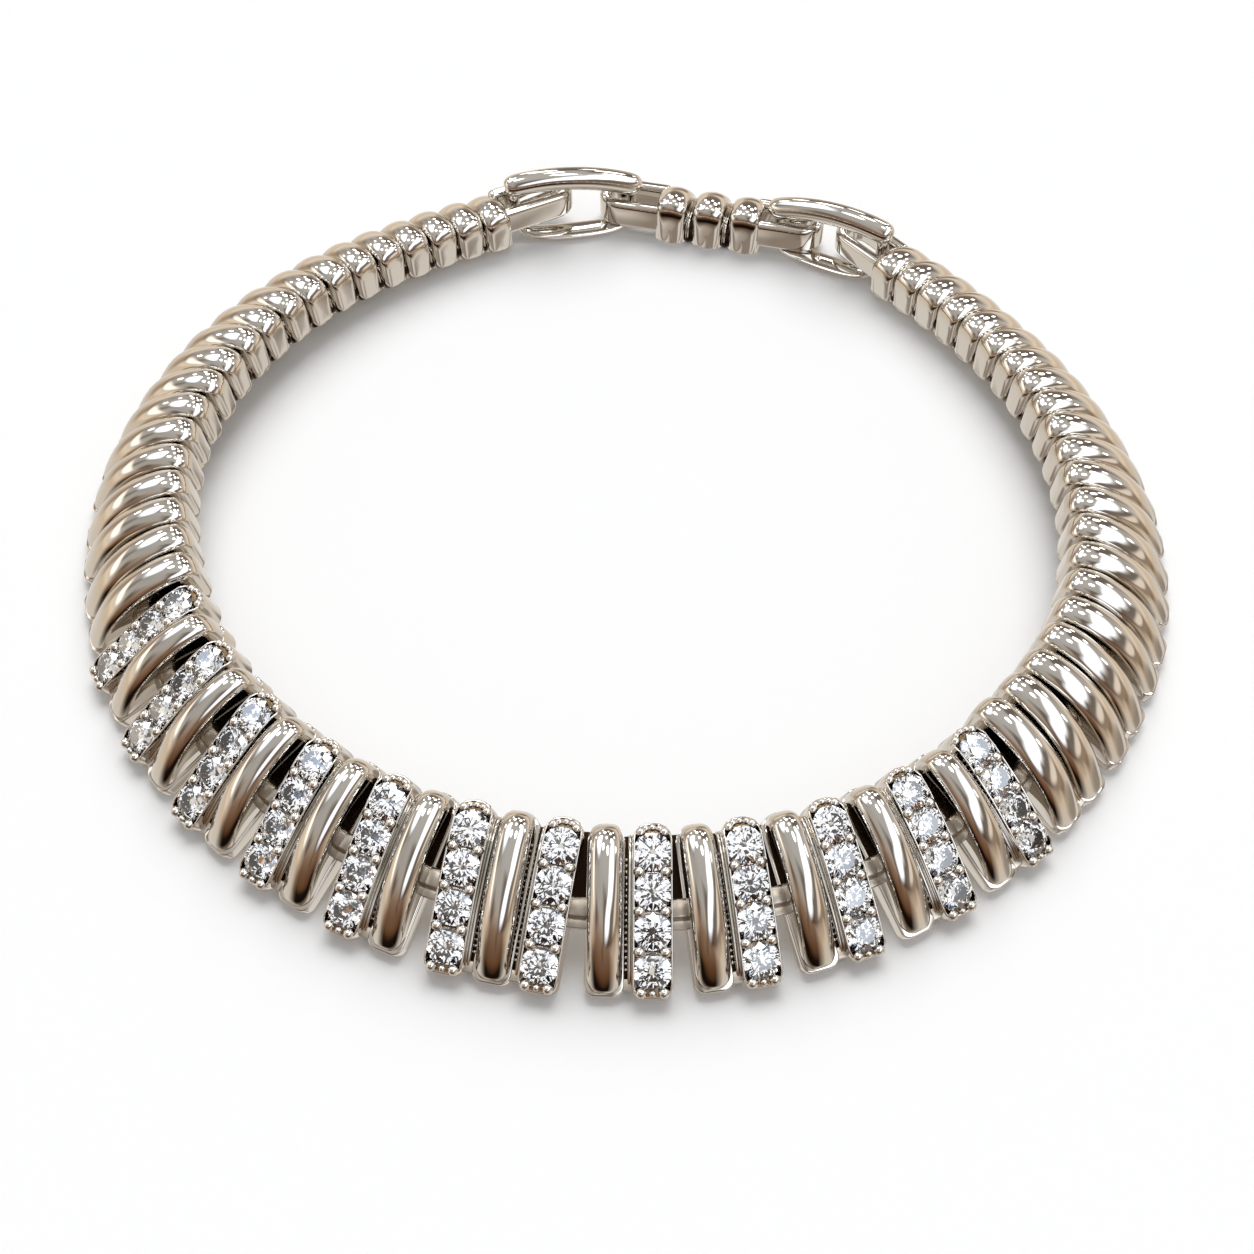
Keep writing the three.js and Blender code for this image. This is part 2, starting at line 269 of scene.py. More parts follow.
def modify(kind, **settings):
    """Adds a modifier to the active object and applies it."""
    bpy.ops.object.modifier_add(type=kind)
    added = bpy.context.object.modifiers[-1]
    for key, value in settings.items():
        setattr(added, key, value)
    bpy.ops.object.modifier_apply(modifier=added.name)


def extrude(x, y, z):
    bpy.ops.mesh.extrude_region_move(TRANSFORM_OT_translate={"value": (x, y, z)})


def stretch(value, centre=(0, 0, 0)):
    """Stretches what is picked by these factors, away from a point."""
    bpy.ops.transform.resize(value=value, center_override=centre)


def round_corners(end, radius, segments):
    """Rounds the upright edges at one end of a form, as seen from above."""
    pick("edges", lambda a, b: (
        abs(a.z - b.z) > 0.5 and max(abs(a.y - end), abs(b.y - end)) < 0.01
    ))
    bpy.ops.mesh.bevel(offset=radius, segments=segments, affect="EDGES")


def finish_form(fit=True, smooth=None, rounds=0):
    """Leaves edit mode, rounds the form, fits it to its unit box and smooths its shading."""
    select_all()
    bpy.ops.mesh.normals_make_consistent(inside=False)
    bpy.ops.object.mode_set(mode="OBJECT")
    made = bpy.context.object
    if rounds:
        modify("SUBSURF", levels=rounds, render_levels=rounds)
    if fit:
        low = Vector([min(v.co[i] for v in made.data.vertices) for i in range(3)])
        high = Vector([max(v.co[i] for v in made.data.vertices) for i in range(3)])
        middle = Vector(((low.x + high.x) / 2, low.y, low.z))
        size = high - low
        made.data.transform(
            Matrix.Diagonal((1 / size.x, 1 / size.y, 1 / size.z, 1)) @ Matrix.Translation(-middle)
        )
    if smooth is None:
        bpy.ops.object.shade_smooth()
    else:
        bpy.ops.object.shade_smooth_by_angle(angle=math.radians(smooth))
    made.hide_render = True
    print(made.name, "has", len(made.data.polygons), "faces")
    return made


# %% [markdown]
# ## The dome of a polished bar
#
# The visible part of a bar is a half-round swelling, low at its outer nose, fullest past the
# middle and rounding over at the neck.  It could be carved from a box, but a cross section
# that is extruded from station to station gives the even curve that a mirror polish needs.
#
# There are two of them.  Beside the stones the neck rounds over evenly.  On the sides it
# stays full for longer and leans towards the wearer, so its last stations are turned.

# %% Model the dome
DOME = {"from": 0.014, "half_width": 2.15, "length": 20.4, "height": 8.7}
SIDE_LEAN = 12             # degrees
LEAN_FROM = 0.885          # share of the length from which a leaning neck is turned
FLOOR_LEVEL = -0.05        # underside of a ridge; its arch stands on upright walls
FULLEST_ARCH = 0.95        # an arch takes at most this share of the crest's height
DOME_STATIONS = table(
    "along crest plan",
    (0.0, 0.205, 0.62),
    (0.012, 0.245, 0.83),
    (0.04, 0.305, 0.95),
    (0.10, 0.425, 1.0),
    (0.20, 0.60, 1.0),
    (0.31, 0.755, 1.0),
    (0.44, 0.88, 0.99),
    (0.59, 0.97, 0.975),
    (0.75, 1.0, 0.96),
)
FRONT_NECK = table(
    "along crest plan",
    (0.86, 0.98, 0.945),
    (0.92, 0.93, 0.89),
    (0.96, 0.84, 0.79),
    (0.986, 0.70, 0.62),
    (1.0, 0.53, 0.40),
)
SIDE_NECK = table(         # the last four stations lean towards the wearer
    "along crest plan",
    (0.833, 0.983, 0.95),
    (0.877, 0.971, 0.935),
    (0.896, 0.876, 0.89),
    (0.948, 0.797, 0.80),
    (0.983, 0.685, 0.64),
    (1.0, 0.553, 0.42),
)


def model_swelling(name, corners, stations, half_width, length, height, rounds, lean=0):
    """A half-round ridge over upright walls, drawn out along Y from station to station.

    Its last stations can lean, by an angle in degrees about the foot of the neck.
    """
    made = start_form(name)
    bpy.ops.mesh.primitive_circle_add(
        vertices=corners, radius=1, fill_type="NGON", rotation=(math.pi / 2, 0, 0)
    )
    pick("verts", lambda co: co.z < -0.01)
    stretch((1, 1, 0), (0, 0, FLOOR_LEVEL))
    y, wide, arch, wall = 0.0, 1.0, 1.0, 0.0
    for row in stations:
        if row is not stations[0]:
            pick("faces", lambda at, normal: abs(at.y - y) < 0.001 and abs(normal.y) > 0.9)
            step = row["along"] * length - y
            extrude(0, step, 0)
            y += step
        now_wide = row["plan"] * half_width
        crest = row["crest"] * height
        now_arch = min(now_wide, crest * FULLEST_ARCH)
        now_wall = crest - now_arch
        pick("verts", lambda co: abs(co.y - y) < 0.001)
        stretch((now_wide / wide, 1, 1), (0, y, 0))
        pick("verts", lambda co: abs(co.y - y) < 0.001 and co.z > FLOOR_LEVEL / 2)
        stretch((1, 1, now_arch / arch), (0, y, wall))
        bpy.ops.transform.translate(value=(0, 0, now_wall - wall))
        wide, arch, wall = now_wide, now_arch, now_wall
    if lean:
        pick("verts", lambda co: co.y > LEAN_FROM * length)
        bpy.ops.transform.rotate(
            value=math.radians(lean), orient_axis="X", center_override=(0, length, 0)
        )
    return finish_form(rounds=rounds)


def model_dome(name, neck, lean):
    return model_swelling(
        name, 16, DOME_STATIONS + neck, DOME["half_width"], DOME["length"], DOME["height"],
        rounds=2, lean=lean,
    )


dome_form = model_dome("dome_form", FRONT_NECK, 0)
side_dome_form = model_dome("side_dome_form", SIDE_NECK, SIDE_LEAN)

# %% [markdown]
# ## The foot of a bar
#
# Under the dome lies a plate that stands out all round by a quarter of a millimetre and
# climbs towards the neck.  Its edge is a fine bright line round every bar.  It is a box with
# its upper end raised and its corners rounded in plan.

# %% Model the foot
FOOT = {
    "tip_wall": 0.19, "neck_wall": 0.36, "neck_width": 0.96,
    "tip_corner": 1.4, "neck_corner": 2.2, "edge": 0.16,
}
FOOT_SIZE = (4.7, 20, 8)   # real proportions of a bar, in mm


def model_foot():
    made = start_form("foot_form")
    bpy.ops.mesh.primitive_cube_add(size=1, location=(0, 0.5, 0.5))
    pick("verts", lambda co: co.y > 0.9)
    stretch((FOOT["neck_width"], 1, 1), (0, 1, 0))
    for end, wall in ((0, FOOT["tip_wall"]), (1, FOOT["neck_wall"])):
        pick("verts", lambda co, end=end: co.z > 0.5 and abs(co.y - end) < 0.1)
        stretch((1, 1, wall))
    # The corners are rounded at real proportions, so that they come out round in plan.
    pick("verts", lambda co: True)
    stretch(FOOT_SIZE)
    round_corners(0, FOOT["tip_corner"], 7)
    round_corners(FOOT_SIZE[1], FOOT["neck_corner"], 7)
    pick("edges", lambda a, b: min(a.z, b.z) > 0.3)
    bpy.ops.mesh.bevel(offset=FOOT["edge"], segments=2, affect="EDGES")
    pick("verts", lambda co: True)
    stretch([1 / size for size in FOOT_SIZE])
    return finish_form(fit=False, smooth=40)


foot_form = model_foot()

# %% [markdown]
# ## The setting of a stone-set bar
#
# A setting is a deep channel between two thin straight walls, closed at both ends.  It starts
# as a box, is cut across at the stations where its upper edge bends, and the inner part of
# its top is pushed down, so that light falls in between the stones.

# %% Model the setting
SETTING_STATIONS = table(
    "along crest plan",
    (0.0, 0.26, 1.0),
    (0.085, 0.36, 1.0),
    (0.25, 0.47, 1.0),
    (0.5, 0.62, 0.99),
    (0.78, 0.71, 0.98),
    (0.89, 0.705, 0.97),
    (1.0, 0.56, 0.96),
)
SETTING = {
    "wall": 0.26, "channel": 2.0, "tip_corner": 1.5, "neck_corner": 2.1, "edge": 0.1,
    "width": 4.95, "length": 20.6, "height": 8.7,
}


def model_setting():
    made = start_form("setting_form")
    bpy.ops.mesh.primitive_cube_add(size=1, location=(0, 0.5, 0.5))
    for row in SETTING_STATIONS[1:-1]:
        select_all()
        bpy.ops.mesh.bisect(plane_co=(0, row["along"], 0), plane_no=(0, 1, 0))
    for row in SETTING_STATIONS:
        pick("verts", lambda co: abs(co.y - row["along"]) < 0.001)
        stretch((row["plan"] * SETTING["width"], 1, 1))
        pick("verts", lambda co: abs(co.y - row["along"]) < 0.001 and co.z > 0.5)
        stretch((1, 1, row["crest"] * SETTING["height"]))
    select_all()
    stretch((1, SETTING["length"], 1))
    round_corners(0, SETTING["tip_corner"], 6)
    round_corners(SETTING["length"], SETTING["neck_corner"], 6)
    pick("faces", lambda at, normal: normal.z > 0.4)
    bpy.ops.mesh.inset(thickness=SETTING["wall"], depth=0)
    extrude(0, 0, -SETTING["channel"])
    bpy.ops.object.mode_set(mode="OBJECT")
    modify("BEVEL", width=SETTING["edge"], segments=2, limit_method="ANGLE",
           angle_limit=math.radians(50))
    bpy.ops.object.mode_set(mode="EDIT")
    select_all()
    stretch((1, 1 / SETTING["length"], 1 / SETTING["height"]))
    return finish_form(fit=False, smooth=35)


setting_form = model_setting()

# %% [markdown]
# ## A round brilliant
#
# The stone has a flat table, a ring of star and kite facets above the girdle and long
# facets that meet in a point below.  Its corners are laid out as circles, and the skin that
# is stretched round them falls into exactly those facets.  Diameter and height are for a
# stone one wide.

# %% Model the brilliant
BRILLIANT_CORNERS = table(
    "count radius level turn",
    (8, 0.285, 0.155, 0),       # table
    (8, 0.385, 0.1086, 22.5),   # tips of the star
    (16, 0.5, 0.014, 0),        # upper girdle
    (16, 0.5, -0.010, 0),       # lower girdle
    (8, 0.13, -0.329, 22.5),    # lower halves
    (3, 0.004, -0.430, 0),      # point
)


def model_brilliant():
    made = start_form("brilliant_form")
    for row in BRILLIANT_CORNERS:
        bpy.ops.mesh.primitive_circle_add(
            vertices=row["count"], radius=row["radius"], location=(0, 0, row["level"]),
            rotation=(0, 0, math.radians(row["turn"])),
        )
    select_all()
    bpy.ops.mesh.convex_hull()
    select_all()
    bpy.ops.mesh.dissolve_limited(angle_limit=math.radians(1.5))
    return finish_form(fit=False, smooth=3)


brilliant_form = model_brilliant()

# %% [markdown]
# ## Beads, bridges and blocks
#
# Small parts finish the bars: round beads raised from the metal hold the stones, and blocks
# with broken edges make the bridge under each pair of beads, the ledge between two noses
# and the knuckle of the hinge.  Grains are far smaller beads, so they get fewer faces.  A
# rail is a slim ridge, made in the way of the dome.


# %% Model the bead and the block
def model_bead(name, segments, rings):
    made = start_form(name)
    bpy.ops.mesh.primitive_uv_sphere_add(segments=segments, ring_count=rings, radius=0.5)
    return finish_form(fit=False)


def model_block(name, edge, proportions):
    """A box one wide, long and high, with edges broken evenly at its real proportions."""
    made = start_form(name)
    bpy.ops.mesh.primitive_cube_add(size=1, location=(0, 0, 0.5))
    stretch(proportions)
    pick("edges", lambda a, b: True)
    bpy.ops.mesh.bevel(offset=edge, segments=3, affect="EDGES")
    pick("verts", lambda co: True)
    stretch([1 / size for size in proportions])
    return finish_form(fit=False, smooth=40)


bead_form = model_bead("bead_form", 14, 9)
grain_form = model_bead("grain_form", 8, 5)
block_form = model_block("block_form", 0.22, (2, 2, 2))
knuckle_form = model_block("knuckle_form", 0.75, (4, 3.4, 2.7))

# %% Model the rail
RAIL_STATIONS = table(
    "along crest plan",
    (0.0, 0.25, 0.8),
    (0.1, 0.50, 1.0),
    (0.35, 0.84, 1.0),
    (0.7, 1.0, 1.0),
    (0.93, 0.97, 1.0),
    (1.0, 0.7, 0.7),
)
rail_form = model_swelling(
    "rail_form", 8, RAIL_STATIONS, half_width=0.45, length=18.0, height=5.6, rounds=1
)

# %% [markdown]
# ## Finishes
#
# The metal is a pale champagne gold alloy, polished on a wheel until it mirrors the room.
# Polishing by hand leaves the surface very slightly wavy, which breaks long reflections into
# soft streaks.  Where the wheel does not reach, the metal is cast on the bridges in the
# channels, grainy and with a deeper brown tone that is painted shade under the stones, and
# satin on the ledges and knuckles.  The webs between bars and the straps behind the knuckles
# are painted dark brown as the shade in the gaps.
#
# One function makes all four, because only tone, roughness and the waves of the surface
# differ.  Noise gives the waves: nothing on a hand-polished surface repeats.


# %% Colour and node helpers
def colour(text):
    """An sRGB hex colour as linear red, green, blue and alpha."""
    values = [int(text[i : i + 2], 16) / 255 for i in (0, 2, 4)]
    linear = [v / 12.92 if v <= 0.04045 else ((v + 0.055) / 1.055) ** 2.4 for v in values]
    return (*linear, 1.0)


def add_node(tree, kind, settings=None, inputs=None, links=None):
    """Adds one node with its properties, its sockets' values and the links into them.

    A socket is given by its name, or by its number where several share a name.
    """
    made = tree.nodes.new(kind)
    for key, value in (settings or {}).items():
        setattr(made, key, value)
    for key, value in (inputs or {}).items():
        made.inputs[key].default_value = value
    for key, source in (links or {}).items():
        tree.links.new(source, made.inputs[key])
    return made


def new_finish(name, sockets):
    """A material, and its Principled shader with these sockets set."""
    made = bpy.data.materials.new(name)
    made.use_nodes = True
    shader = made.node_tree.nodes["Principled BSDF"]
    for key, value in sockets.items():
        shader.inputs[key].default_value = value
    return made, shader


# %% Champagne gold, in four states
DRIFT_SIZE = 8             # mm from one tone to the next
WAVE_SIZE = 3.2            # mm between the soft waves that polishing leaves
GRAIN_SIZE = 0.25          # mm, cast grain, drawn coarser than real so that it can show


def gold_finish(name, tone, shade, roughness, wave_height, grain_height=0.0):
    """Gold whose tone drifts a little and whose surface waves as real polished metal does."""
    made, shader = new_finish(name, {"Metallic": 1.0, "Roughness": roughness})
    tree = made.node_tree
    place = add_node(tree, "ShaderNodeTexCoord").outputs["Object"]
    drift = add_node(
        tree, "ShaderNodeTexNoise", inputs={"Scale": 1 / (DRIFT_SIZE * MM), "Detail": 2.0},
        links={"Vector": place},
    )
    tint = add_node(
        tree, "ShaderNodeMix", {"data_type": "RGBA"}, {6: colour(tone), 7: colour(shade)},
        {"Factor": drift.outputs["Fac"]},
    )
    tree.links.new(tint.outputs[2], shader.inputs["Base Color"])
    surface = {}
    for size, detail, height in (
        (WAVE_SIZE, 0.0, wave_height), (GRAIN_SIZE, 1.0, grain_height),
    ):
        noise = add_node(
            tree, "ShaderNodeTexNoise", inputs={"Scale": 1 / (size * MM), "Detail": detail},
            links={"Vector": place},
        )
        bump = add_node(
            tree, "ShaderNodeBump", inputs={"Strength": 1.0, "Distance": height * MM},
            links={"Height": noise.outputs["Fac"], **surface},
        )
        surface = {"Normal": bump.outputs["Normal"]}
    tree.links.new(surface["Normal"], shader.inputs["Normal"])
    return made


# Buffed to a mirror: all that the eye sees on it is the room, a little rippled.
polished_gold = gold_finish(
    "polished_champagne_gold", "d4cfc8", "c9c4bc", roughness=0.06, wave_height=0.05
)
# As cast: grainy and dull, which is real, and deeper brown in tone, which is painted shade under
# the stones on the bridges and end blocks.
gold_cast_with_painted_shade = gold_finish(
    "champagne_gold_as_cast_painted_shade", "a58d70", "8f7455", roughness=0.2, wave_height=0.05,
    grain_height=0.012,
)
# Rubbed with a fine abrasive: broad, quiet highlights between the bright bars.
satin_gold = gold_finish(
    "satin_champagne_gold", "bcb3a7", "afa598", roughness=0.34, wave_height=0.03
)
# Painted shade: a dark brown on the webs between bars and the straps behind the knuckles, standing
# in for the shade in those gaps.
painted_shade_gold = gold_finish(
    "gold_with_painted_shade", "2c1f15", "1d140e", roughness=0.3, wave_height=0.05, grain_height=0.012
)

# %% Brilliant: colourless stone, cut and polished, with the index of diamond
clear_stone, _ = new_finish(
    "clear_brilliant",
    {"Base Color": colour("ffffff"), "Roughness": 0.0, "IOR": 2.4, "Transmission Weight": 1.0},
)

# %% Give every form its finish
POLISHED_FORMS = (
    dome_form, side_dome_form, foot_form, setting_form, bead_form, grain_form, rail_form
)
for finish, forms in (
    (polished_gold, POLISHED_FORMS),
    (satin_gold, (block_form, knuckle_form)),
    (clear_stone, (brilliant_form,)),
):
    for form in forms:
        form.data.materials.append(finish)
    print(finish.name, "on", ", ".join(form.name for form in forms))

# %% [markdown]
# ## Laying the forms on the collar
#
# Each copy of a form gets its real size and its place in its own mesh, and the copies that
# belong to one piece are joined.


# %% Copy, place and join
def lay(form, where, size, at=(0, 0, 0), turn=0.0, finish=None):
    """A copy of a form with this size in mm, laid at a point of a bar's frame."""
    made = form.copy()
    made.data = form.data.copy()
    made.hide_render = False
    bpy.context.scene.collection.objects.link(made)
    made.data.transform(
        where @ Matrix.Translation(at) @ Matrix.Rotation(turn, 4, "X") @ Matrix.Diagonal((*size, 1))
    )
    if finish:
        made.data.materials[0] = finish
    return made


def join_piece(name, parts):
    """Joins laid copies into one named piece that rides on the collar."""
    bpy.ops.object.select_all(action="DESELECT")
    for part in parts:
        part.select_set(True)
    bpy.context.view_layer.objects.active = parts[0]
    bpy.ops.object.join()
    made = bpy.context.object
    made.name = made.data.name = name
    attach(made, "root")
    return made


# %% [markdown]
# ## Bars
#
# A polished bar is a foot with a dome on it.  It is slimmer beside a setting, which needs
# room, and full where it touches its own kind.  A stone-set bar is a setting with bridges,
# four stones in line with the slope of its walls, two shared beads between neighbours and a
# few beads at either end.

# %% Lay a polished bar
BAR_WIDTHS = {              # mm; "to" is the end of the dome as a share of the length
    "between_stones": {"form": dome_form, "dome": 4.5, "foot": 4.95, "to": 0.99},
    "among_its_own": {"form": side_dome_form, "dome": 5.25, "foot": 5.1, "to": 1.05},
    "in_the_extender": {"form": dome_form, "dome": 5.5, "foot": 5.3, "to": 1.0},
}


def polished_bar(where, size, company):
    length, height = size["length"], size["height"]
    width, start = BAR_WIDTHS[company], DOME["from"] * length
    dome_size = (width["dome"], (width["to"] - DOME["from"]) * length, height)
    return [
        lay(foot_form, where, (width["foot"], length, height)),
        lay(width["form"], where, dome_size, (0, start, 0)),
    ]


# %% Lay a stone-set bar
STONE = {"diameter": 4.75, "first": 0.138, "step": 0.2275, "count": 4, "below_wall": 0.1}
BEAD = {"diameter": 1.8, "height": 2.4, "aside": 1.6, "above": -0.4}
SETTING_REACH = {"beyond_tip": 0.3, "raised": 0.1}
SEAT_REACH = 1.0           # mm to either side over which the slope of a seat is taken
BRIDGE = {"size": (4.6, 0.8, 1.4), "below": 1.8}
END_BLOCK = {"size": (3.4, 1.5, 1.2), "below": 1.25, "from_tip": 0.95, "from_neck": 1.5}
END_BEADS = table(      # places beyond the last stone's centre, and sizes as shares of a bead
    "end beyond aside share",
    (-1, 2.35, 1.4, 0.9),
    (-1, 2.5, 0.0, 0.6),
    (1, 2.35, 1.45, 0.8),
    (1, 2.85, 0.85, 0.6),
    (1, 3.0, 0.0, 0.6),
)


def wall_height(along):
    """Upper edge of a setting's wall, as a share of the bar's height."""
    return mix_rows(SETTING_STATIONS, "along", along)["crest"]


def seat(size, y):
    """Height of the stones' girdle above the foot, and its slope, at a distance along a bar."""
    length, height = size["length"], size["height"]
    low = wall_height(max(0, (y - SEAT_REACH) / length)) * height
    high = wall_height(min(1, (y + SEAT_REACH) / length)) * height
    return (low + high) / 2 - STONE["below_wall"], math.atan2(high - low, 2 * SEAT_REACH)


def stone_bar(where, size):
    length, beyond = size["length"], SETTING_REACH["beyond_tip"]
    at = (0, -beyond, SETTING_REACH["raised"])
    metal = [lay(setting_form, where, (1, length + beyond, size["height"]), at)]
    places = [(STONE["first"] + STONE["step"] * i) * length for i in range(STONE["count"])]
    stones = []
    for y in places:
        z, slope = seat(size, y)
        stones.append(lay(brilliant_form, where, (STONE["diameter"],) * 3, (0, y, z), slope))
    for before, after in zip(places, places[1:]):
        y = (before + after) / 2
        z, slope = seat(size, y)
        at = (0, y, z - BRIDGE["below"])
        # The bridge's deeper brown tone is painted shade under the stones; its grain is real.
        metal.append(lay(block_form, where, BRIDGE["size"], at, slope, gold_cast_with_painted_shade))
        for side in (-1, 1):
            metal.append(bead_on(where, side * BEAD["aside"], y, z, slope, 1.0))
    for row in END_BEADS:
        y = places[0 if row["end"] < 0 else -1] + row["end"] * row["beyond"]
        z, slope = seat(size, y)
        for aside in {-row["aside"], row["aside"]}:
            metal.append(bead_on(where, aside, y, z, slope, row["share"]))
    for y in (END_BLOCK["from_tip"], length - END_BLOCK["from_neck"]):
        z, slope = seat(size, y)
        at = (0, y, z - END_BLOCK["below"])
        # The end block's deeper brown tone is painted shade under the stones; its grain is real.
        metal.append(lay(block_form, where, END_BLOCK["size"], at, slope, gold_cast_with_painted_shade))
    return metal, stones


def bead_on(where, x, y, z, slope, share):
    """A bead of this share of the full size, beside a stone."""
    size = (BEAD["diameter"] * share, BEAD["diameter"] * share, BEAD["height"] * share)
    return lay(bead_form, where, size, (x, y, z + BEAD["above"] * share), slope)


# %% [markdown]
# ## Between the bars
#
# In a link, a web joins the two bars; two thin rails run along it and catch the light, a row
# of milled grains follows them beside the stones, and a small ledge closes it between the
# noses.  Between two links there is a hinge knuckle.

# %% Lay a web and a knuckle
WEB = {"width": 2.6, "height": 0.27, "from": 0.04, "to": 0.95}
RAILS = [                   # narrow strips beside the stone-set bar
    {"width": 0.5, "height": 0.52, "aside": 0.1},
    {"width": 0.26, "height": 0.54, "aside": 0.42},
]
MILLING = {"aside": -0.3, "bead": 0.52, "step": 0.74, "from": 0.13, "to": 0.86}
LEDGE = {"width": 2.6, "length": 1.5, "height": 1.25, "at": 0.7, "from": 0.3}
KNUCKLE = {"at": 10.65, "width": 3.0, "length": 2.8, "low": 0.9, "height": 2.6}
KNUCKLE_STEP = {"at": 8.8, "width": 3.0, "length": 1.4, "low": 0.9, "height": 1.7}
# The strap is a low block whose dark brown colour is painted shade in the gap behind a knuckle.
STRAP = {"width": 3.0, "height": 1.3, "low": 0.7, "end": 0.95}


def rail_height(along):
    """Top of a rail or web, as a share of its full height."""
    return mix_rows(RAIL_STATIONS, "along", along)["crest"]


def web_between(where, size, lean=1, milled=False):
    """Web and rails between two bars; lean is +1 or -1 towards the stone-set one."""
    length, height = size["length"], size["height"]
    start, reach = WEB["from"] * length, (WEB["to"] - WEB["from"]) * length
    web_size = (WEB["width"], reach, WEB["height"] * height)
    # The web's dark brown colour is painted shade in the gap between two bars.
    parts = [lay(rail_form, where, web_size, (0, start, 0), finish=painted_shade_gold)]
    for strip in RAILS:
        at = (lean * strip["aside"], start, 0)
        parts.append(lay(rail_form, where, (strip["width"], reach, strip["height"] * height), at))
    if milled:
        count = int((MILLING["to"] - MILLING["from"]) * reach / MILLING["step"])
        for i in range(count + 1):
            along = MILLING["from"] + i * MILLING["step"] / reach
            top = rail_height(along) * web_size[2]
            at = (lean * MILLING["aside"], start + along * reach, top)
            parts.append(lay(grain_form, where, (MILLING["bead"],) * 3, at))
    ledge = (LEDGE["width"], LEDGE["length"], LEDGE["height"])
    at = (0, LEDGE["at"] + LEDGE["length"] / 2, LEDGE["from"])
    return parts + [lay(block_form, where, ledge, at)]


def knuckle_between(where, size):
    """A rounded knuckle with a low step in front of it, and behind it a strap painted dark brown as
    the shade in the gap.
    """
    scale = size["length"] / BAR_STATIONS[0]["length"]
    parts = []
    for block, form in ((KNUCKLE, knuckle_form), (KNUCKLE_STEP, block_form)):
        block_size = (block["width"], block["length"] * scale, block["height"])
        parts.append(lay(form, where, block_size, (0, block["at"] * scale, block["low"])))
    start = KNUCKLE["at"] * scale
    reach = STRAP["end"] * size["length"] - start
    strap, at = (STRAP["width"], reach, STRAP["height"]), (0, start + reach / 2, STRAP["low"])
    # The strap's dark brown colour is painted shade in the gap behind the knuckle.
    return parts + [lay(block_form, where, strap, at, finish=painted_shade_gold)]


# %% Build the links
def build_link(name, numbers, kinds):
    bars, stones = [], []
    places = spread(numbers)
    link_middle = sum(numbers) / len(numbers)
    company = "between_stones" if "set" in kinds else "among_its_own"
    for place, kind in zip(places, kinds):
        where, size = bar_frame(place, link_middle), station(place)
        if kind == "set":
            metal, gems = stone_bar(where, size)
            bars += metal
            stones += gems
        else:
            bars += polished_bar(where, size, company)
    fillings = []
    for i, (one, other) in enumerate(zip(places, places[1:])):
        middle = (one + other) / 2
        lean = -1 if kinds[i] == "set" else 1
        milled = company == "between_stones"
        fillings += web_between(bar_frame(middle, link_middle), station(middle), lean, milled)
    if numbers[-1] < HALF_COUNT:
        middle = numbers[-1] + 0.5
        fillings += knuckle_between(bar_frame(middle), station(middle))
    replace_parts(join_piece(name + "_bars", bars), name)
    join_piece(name + "_web", fillings)
    if stones:
        join_piece(name + "_brilliants", stones)


for link_name, (numbers, kinds) in LINKS.items():
    build_link(link_name, numbers, kinds)

# %% [markdown]
# ## End loops, extender and closing rings
#
# Each end of the chain has a flat-sided loop, and so have both ends of the extender.  A loop
# is a strip of metal bent to a narrow U: a rectangle is extruded, spun half round and
# extruded back, and its edges are broken.  A closing ring is a round rod that goes down
# through two loops and returns as a thin flat strip, so its cross section changes on the
# way; that is made by bridging one section to the next.

# %% A level frame beside an end bar
LOOP = {"depth": 7.4, "wall": 2.0, "inset": 0.9, "root": 1.2, "edge": 0.9}
EXTENDER = {"x": -0.5, "neck_y": 64.9, "pitch": 6.2, "bars": (-1, 0, 1)}
EXTENDER_BAR = {"length": 11.3, "height": 7.7}
LOOPS = {
    "left": {"length": 12.6, "low": 3.0, "high": 7.6},
    "right": {"length": 11.0, "low": 2.1, "high": 6.3},
    "extender": {"length": 10.6, "low": 0.9, "high": 5.8},
}
END_BAR_HALF_WIDTH = 2.25


def end_frame(bar, length, side):
    """X leads away from the chain, level; the loop's own middle line is at Y 0."""
    middle = bar @ Vector((0, length / 2, 0)) / MM
    across = (bar.to_3x3() @ Vector((side, 0, 0))).normalized()
    shift = side * (LOOP["inset"] + LOOP["depth"] / 2 - length / 2)
    beside_bar = level_frame((middle.x, middle.y, 0), math.atan2(across.y, across.x))
    return beside_bar @ Matrix.Translation((END_BAR_HALF_WIDTH, -shift, 0))


def extender_frame(n):
    tip = (EXTENDER["x"] - n * EXTENDER["pitch"], EXTENDER["neck_y"] + EXTENDER_BAR["length"], 0)
    return level_frame(tip, math.pi)


END_FRAMES = {}
for side_name, number, side in (("left", -HALF_COUNT + 1, -1), ("right", HALF_COUNT, 1)):
    numbers = next(ns for ns, _ in LINKS.values() if number in ns)
    end = spread(numbers)[numbers.index(number)]
    end_bar = bar_frame(end, sum(numbers) / len(numbers))
    END_FRAMES[side_name] = end_frame(end_bar, station(end)["length"], side)
END_FRAMES["extender_right"] = end_frame(extender_frame(-1), EXTENDER_BAR["length"], -1)
END_FRAMES["extender_left"] = end_frame(extender_frame(1), EXTENDER_BAR["length"], 1)


